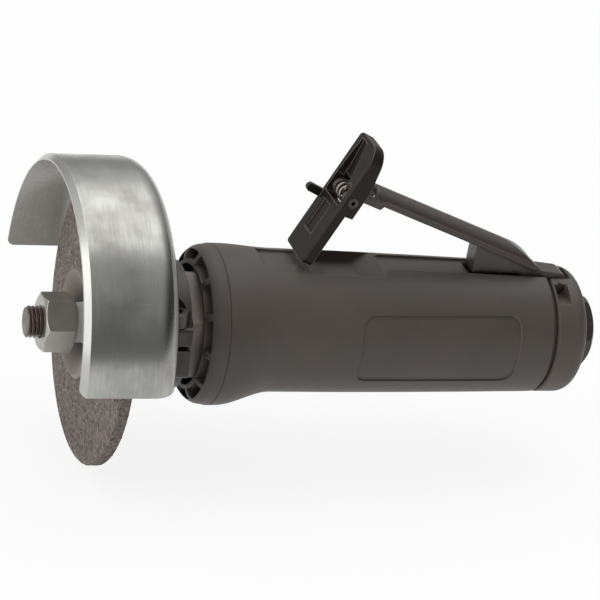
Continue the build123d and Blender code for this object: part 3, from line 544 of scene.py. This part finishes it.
creaseAngle = 35.0  # edges sharper than this stay sharp


# a skin over rings of points; it ends open, in two flat caps, or joined to its own start
def ringMesh(name, rings, ends):
    sides = len(rings[0])
    points = [point for ring in rings for point in ring]
    faces = []
    for i in range(len(rings) if ends == "joined" else len(rings) - 1):
        here, after = i * sides, (i + 1) % len(rings) * sides
        for k in range(sides):
            beside = (k + 1) % sides
            faces.append((here + k, here + beside, after + beside, after + k))
    if ends == "capped":
        faces.append(tuple(reversed(range(sides))))
        faces.append(tuple(range(len(points) - sides, len(points))))
    mesh = bpy.data.meshes.new(name)
    mesh.from_pydata(points, [], faces)
    mesh.shade_smooth()
    mesh.set_sharp_from_angle(angle=math.radians(creaseAngle))
    return mesh


def addPiece(name, mesh, mat, body):
    mesh.materials.clear()
    mesh.materials.append(mat)
    piece = bpy.data.objects.new(name, mesh)
    scene.collection.objects.link(piece)
    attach(piece, body)
    return piece


# a screw thread's flanks, and its flat crest, as shares of its depth
threadForm = {
    "slope": 1.5,
    "crest": 0.25,
}


# how deep a screw thread is cut at a place along it: 0 on the crest, 1 in the root
def threadDip(x, turn, pitch):
    phase = (x / pitch - turn / (2 * math.pi)) % 1.0
    return min(1.0, max(0.0, threadForm["slope"] * (1 - abs(2 * phase - 1)) - threadForm["crest"]))


# places along a turned piece and its radius there, read from its solid
def turnedOutline(node):
    spots = {(round(v.co.x / mm, 2), round(math.hypot(v.co.y, v.co.z) / mm, 2))
             for v in node.data.vertices}
    outline = []
    for x in sorted({spot[0] for spot in spots}):
        last = outline[-1][1] if outline else 0.0
        radii = sorted((r for at, r in spots if at == x), key=lambda r: abs(r - last))
        outline += [(x, r) for r in radii]
    return outline


# spindle whose free end has its screw thread, 24 turns to the inch, run out on the chamfered tip
spindleSet = {
    "pitch": 25.4 / 24,
    "depth": 0.62,
    "ringsPerTurn": 10,
    "sides": 72,
    "intoNut": 0.5,
}


def makeSpindle(s):
    outline = turnedOutline(nodes["spindle"])
    (tip, tipRadius), (full, crest) = outline[:2]
    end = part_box("wheel_nut")[0][0] / mm + s["intoNut"]
    turns = [2 * math.pi * k / s["sides"] for k in range(s["sides"])]
    rings = []
    count = round((end - tip) / s["pitch"] * s["ringsPerTurn"])
    for i in range(count + 1):
        x = tip + (end - tip) * i / count
        blank = min(crest, tipRadius + (crest - tipRadius) * (x - tip) / (full - tip))
        cut = [crest - s["depth"] * threadDip(x, t, s["pitch"]) for t in turns]
        rings.append([roundPoint(x, min(blank, radius), t) for radius, t in zip(cut, turns)])
    rest = [spot for spot in outline if spot[0] > end]
    for x, radius in [(end, rest[0][1])] + rest:
        rings.append([roundPoint(x, radius, t) for t in turns])
    mesh = ringMesh("threadedSpindle", rings, "capped")
    piece = addPiece("threadedSpindle", mesh, materials["oiledBrownSteel"], "spindle")
    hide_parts("spindle")


# guard skirt: a half ring of drawn sheet, its front edge bevelled, its back turned in by a wide bend
shellSet = {
    "wall": 1.8,
    "bend": 6.6,
    "bevelLength": 1.6,
    "bevelDrop": 1.5,
    "cornerRound": 1.8,
    "cornerSteps": 6,
    "bendSteps": 14,
    "turnSteps": 128,
}


def makeGuardShell(s):
    low, high = ([part / mm for part in corner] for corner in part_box("guard_shell"))
    front, edge, back, outer = low[0], low[2], high[0], high[2]
    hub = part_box("guard_hub")[1][2] / mm
    inner, corner, bend = outer - s["wall"], s["cornerRound"], s["bend"]
    eases = [math.pi / 2 * i / s["cornerSteps"] for i in range(s["cornerSteps"] + 1)]
    places = [front + corner * (1 - math.cos(a)) for a in eases]
    quarter = [math.pi / 2 * i / s["bendSteps"] for i in range(s["bendSteps"] + 1)]
    outline = [(x, min(outer, outer - s["bevelDrop"] * (1 - (x - front) / s["bevelLength"])))
               for x in sorted(places + [front + s["bevelLength"]])]
    outside, within = (
        [(back - bend + radius * math.sin(a), outer - bend + radius * math.cos(a)) for a in quarter]
        for radius in (bend, bend - s["wall"]))
    outline += outside + [(back, hub), (back - s["wall"], hub)] + within[::-1]
    outline += [(x, inner) for x in reversed(places)]
    ends = []
    for x, r in outline:
        short = max(0.0, 1 - (x - front) / corner)
        ends.append(math.acos((edge + corner * (1 - math.sqrt(1 - short * short))) / r))
    shares = [1 - 2 * i / s["turnSteps"] for i in range(s["turnSteps"] + 1)]
    rings = [[roundPoint(x, r, share * end) for (x, r), end in zip(outline, ends)] for share in shares]
    mesh = ringMesh("drawnGuardShell", rings, "capped")
    piece = addPiece("drawnGuardShell", mesh, materials["drawnZincSteel"], "guard")
    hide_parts("guard_shell")


# thread cut in the air inlet, 18 turns to the inch, as a sleeve that lines the bore
inletSet = {
    "pitch": 25.4 / 18,
    "depth": 0.7,
    "boreRadius": 5.7,
    "length": 12.4,
    "mouth": 0.5,
    "gap": 0.02,
    "wall": 0.08,
    "ringsPerTurn": 8,
    "sides": 64,
}


def makeInletThread(s):
    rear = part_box("inlet_bushing")[1][0] / mm - s["mouth"]
    front = rear - s["length"]
    outer = s["boreRadius"] - s["gap"]
    crest = outer - s["wall"]
    turns = [2 * math.pi * k / s["sides"] for k in range(s["sides"])]
    count = round(s["length"] / s["pitch"] * s["ringsPerTurn"])
    rings = []
    for i in range(count + 1):
        x = rear + (front - rear) * i / count
        fade = min(1.0, (rear - x) / s["pitch"])
        rise = [s["depth"] * fade * (1 - threadDip(x, t, s["pitch"])) for t in turns]
        rings.append([roundPoint(x, crest - high, t) for high, t in zip(rise, turns)])
    for x in (front, rear):
        rings.append([roundPoint(x, outer, t) for t in turns])
    mesh = ringMesh("inletThread", rings, "joined")
    addPiece("inletThread", mesh, materials["phosphatedSteel"], "housing")


# grit that stands out of the bond on both faces and the rim of the wheel, outside the flanges
gritSet = {
    "perSquareCm": 62.0,
    "radius": 0.42,
    "sink": 0.22,
    "flangeGap": 0.5,
    "edge": 0.3,
    "sides": 96,
    "sizes": (0.55, 1.1),
    "fullTurn": 6.28,
    "seed": 11,
}


def gritTree(mat, s):
    tree = bpy.data.node_groups.new("wheelGrit", "GeometryNodeTree")
    sockets = {"Wheel": "Geometry", "Density": "Float", "Radius": "Float", "Sink": "Float", "Seed": "Int"}
    for name, kind in sockets.items():
        tree.interface.new_socket(name, in_out="INPUT", socket_type="NodeSocket" + kind)
    tree.interface.new_socket("Grit", in_out="OUTPUT", socket_type="NodeSocketGeometry")
    given = addNode(tree, "NodeGroupInput").outputs
    spread = addNode(tree, "GeometryNodeDistributePointsOnFaces", {"distribute_method": "RANDOM"},
                     links={"Mesh": given["Wheel"], "Density": given["Density"], "Seed": given["Seed"]})
    inward = addNode(tree, "ShaderNodeVectorMath", {"operation": "SCALE"},
                     links={0: spread.outputs["Normal"], "Scale": given["Sink"]})
    sunk = addNode(tree, "GeometryNodeSetPosition",
                   links={"Geometry": spread.outputs["Points"], "Offset": inward.outputs["Vector"]})
    grain = addNode(tree, "GeometryNodeMeshIcoSphere", values={"Subdivisions": 1},
                    links={"Radius": given["Radius"]})
    small, large = s["sizes"]
    size = addNode(tree, "FunctionNodeRandomValue", {"data_type": "FLOAT_VECTOR"},
                   {0: (small, small, small), 1: (large, large, large)}, {"Seed": given["Seed"]})
    most = s["fullTurn"]
    turn = addNode(tree, "FunctionNodeRandomValue", {"data_type": "FLOAT_VECTOR"},
                   {0: (0.0, 0.0, 0.0), 1: (most, most, most)}, {"Seed": given["Seed"]})
    placed = addNode(tree, "GeometryNodeInstanceOnPoints",
                     links={"Points": sunk.outputs["Geometry"], "Instance": grain.outputs["Mesh"],
                            "Rotation": turn.outputs[0], "Scale": size.outputs[0]})
    whole = addNode(tree, "GeometryNodeRealizeInstances", links={"Geometry": placed.outputs["Instances"]})
    painted = addNode(tree, "GeometryNodeSetMaterial", values={"Material": mat},
                      links={"Geometry": whole.outputs["Geometry"]})
    addNode(tree, "NodeGroupOutput", links={"Grit": painted.outputs["Geometry"]})
    return tree


def makeGrit(s):
    low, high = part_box("cutting_wheel")
    front, back, rim = low[0] / mm, high[0] / mm, high[2] / mm
    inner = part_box("outer_flange")[1][2] / mm + s["flangeGap"]
    edge = s["edge"]
    outline = ((front, inner), (front, rim - edge), (front + edge, rim),
               (back - edge, rim), (back, rim - edge), (back, inner))
    turns = [2 * math.pi * k / s["sides"] for k in range(s["sides"])]
    rings = [[roundPoint(x, r, t) for t in turns] for x, r in outline]
    host = bpy.data.objects.new("wheelSkin", ringMesh("wheelSkin", rings, "open"))
    scene.collection.objects.link(host)
    tree = gritTree(materials["bareAbrasiveGrit"], s)
    given = {"Density": s["perSquareCm"] * 1e4, "Radius": s["radius"] * mm,
             "Sink": -s["sink"] * mm, "Seed": s["seed"]}
    spread = host.modifiers.new("wheelGrit", "NODES")
    spread.node_group = tree
    for socket in tree.interface.items_tree:
        if socket.name in given:
            spread[socket.identifier] = given[socket.name]
    ready = host.evaluated_get(bpy.context.evaluated_depsgraph_get())
    mesh = bpy.data.meshes.new_from_object(ready)
    host.modifiers.clear()
    bpy.data.objects.remove(host)
    addPiece("wheelGrit", mesh, materials["bareAbrasiveGrit"], "spindle")
    return len(mesh.polygons)


# valve spring under the throttle valve: its coil merged into one smooth mesh that stays with the housing
valveSpringSet = {
    "joint": "throttle_push",
    "mergeMm": 0.001,
}


def makeValveSpring(s):
    coil = bmesh.new()
    coil.from_mesh(nodes["valve_spring"].data)
    bmesh.ops.remove_doubles(coil, verts=coil.verts, dist=s["mergeMm"] * mm)
    mesh = bpy.data.meshes.new("valveSpringCoil")
    coil.to_mesh(mesh)
    coil.free()
    mesh.shade_smooth()
    piece = addPiece("valveSpringCoil", mesh, materials["brightSpringSteel"], "housing")
    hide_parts("valve_spring")
    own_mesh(piece)


makeSpindle(spindleSet)
makeValveSpring(valveSpringSet)
makeGuardShell(shellSet)
makeInletThread(inletSet)
print("threads cut, wheel grit faces:", makeGrit(gritSet))

# floor and studio light: a pale tent with two dim sides, and lamps overhead and at the wheel's side
stageSet = {
    "floorDrop": 0.5,
    "floorSize": 6000.0,
    "floorColour": "#f6f6f5",
    "floorRough": 0.9,
    "floorWhite": 0.86,  # share of the floor that shows as plain white; the rest takes the shadow
    "tentLevels": ((0.0, 0.36), (0.3, 0.48), (0.7, 1.15), (1.0, 1.45)),
    "dimSides": (
        # way out of the tent, and how bright it is at cosines from that way
        ((0.0, -1.0, 0.0), ((0.03, 1.0), (0.28, 0.46), (0.6, 0.36), (0.95, 0.5))),
        ((0.98, -0.15, 0.08), ((0.7, 1.0), (0.93, 0.15))),
    ),
    "lamps": (
        # name, place in mm, aimed at, size in mm, watts
        ("topLamp", (340.0, 230.0, 950.0), (60.0, 0.0, 0.0), 800.0, 1.4),
        ("wheelSideLamp", (-780.0, -330.0, 330.0), (0.0, 0.0, 0.0), 1000.0, 4.8),
    ),
}


def makeFloor(s):
    low = cadBox[0][2] - s["floorDrop"] * mm
    half = s["floorSize"] * mm / 2
    mesh = bpy.data.meshes.new("studioFloor")
    corners = [(-half, -half, low), (half, -half, low), (half, half, low), (-half, half, low)]
    mesh.from_pydata(corners, [], [(0, 1, 2, 3)])
    floor = bpy.data.objects.new("studioFloor", mesh)
    scene.collection.objects.link(floor)
    paper = {"Base Color": linear(s["floorColour"]), "Roughness": s["floorRough"]}
    mat, tree, shader, _ = newMaterial("whitePaperFloor", paper)
    path = addNode(tree, "ShaderNodeLightPath")
    seen = addNode(tree, "ShaderNodeMath", {"operation": "MAXIMUM"},
                   links={0: path.outputs["Is Camera Ray"], 1: path.outputs["Is Glossy Ray"]})
    seen = addNode(tree, "ShaderNodeMath", {"operation": "MAXIMUM"},
                   links={0: seen.outputs[0], 1: path.outputs["Is Transmission Ray"]})
    share = addNode(tree, "ShaderNodeMath", {"operation": "MULTIPLY"}, {1: s["floorWhite"]},
                    {0: seen.outputs[0]})
    glow = addNode(tree, "ShaderNodeEmission", values={"Color": (1, 1, 1, 1), "Strength": 1.0})
    mix = addNode(tree, "ShaderNodeMixShader",
                  links={0: share.outputs[0], 1: shader.outputs["BSDF"], 2: glow.outputs["Emission"]})
    tree.links.new(mix.outputs["Shader"], tree.nodes["Material Output"].inputs["Surface"])
    mesh.materials.append(mat)


def makeWorld(s):
    world = bpy.data.worlds.new("studioTent")
    scene.world = world
    world.use_nodes = True
    tree = world.node_tree
    tree.nodes.clear()
    way = addNode(tree, "ShaderNodeTexCoord").outputs["Generated"]
    height = addNode(tree, "ShaderNodeSeparateXYZ", links={"Vector": way})
    tent = addNode(tree, "ShaderNodeValToRGB", links={"Fac": height.outputs["Z"]},
                   stops=[(at, grey(level)) for at, level in s["tentLevels"]])
    level = tent.outputs["Color"]
    for side, levels in s["dimSides"]:
        facing = addNode(tree, "ShaderNodeVectorMath", {"operation": "DOT_PRODUCT"}, {1: side}, {0: way})
        dimmed = addNode(tree, "ShaderNodeValToRGB", links={"Fac": facing.outputs["Value"]},
                         stops=[(at, grey(share)) for at, share in levels])
        both = addNode(tree, "ShaderNodeMath", {"operation": "MULTIPLY"},
                       links={0: level, 1: dimmed.outputs["Color"]})
        level = both.outputs[0]
    glow = addNode(tree, "ShaderNodeBackground", values={"Color": (1, 1, 1, 1)}, links={"Strength": level})
    addNode(tree, "ShaderNodeOutputWorld", links={"Surface": glow.outputs["Background"]})


def makeLamps(lamps):
    for name, place, aim, size, watts in lamps:
        data = bpy.data.lights.new(name, "AREA")
        data.size = size * mm
        data.energy = watts
        lamp = bpy.data.objects.new(name, data)
        lamp.location = Vector(place) * mm
        lamp.rotation_euler = (Vector(aim) - Vector(place)).to_track_quat("-Z", "Y").to_euler()
        scene.collection.objects.link(lamp)


makeFloor(stageSet)
makeWorld(stageSet)
makeLamps(stageSet["lamps"])
print("stage lit")
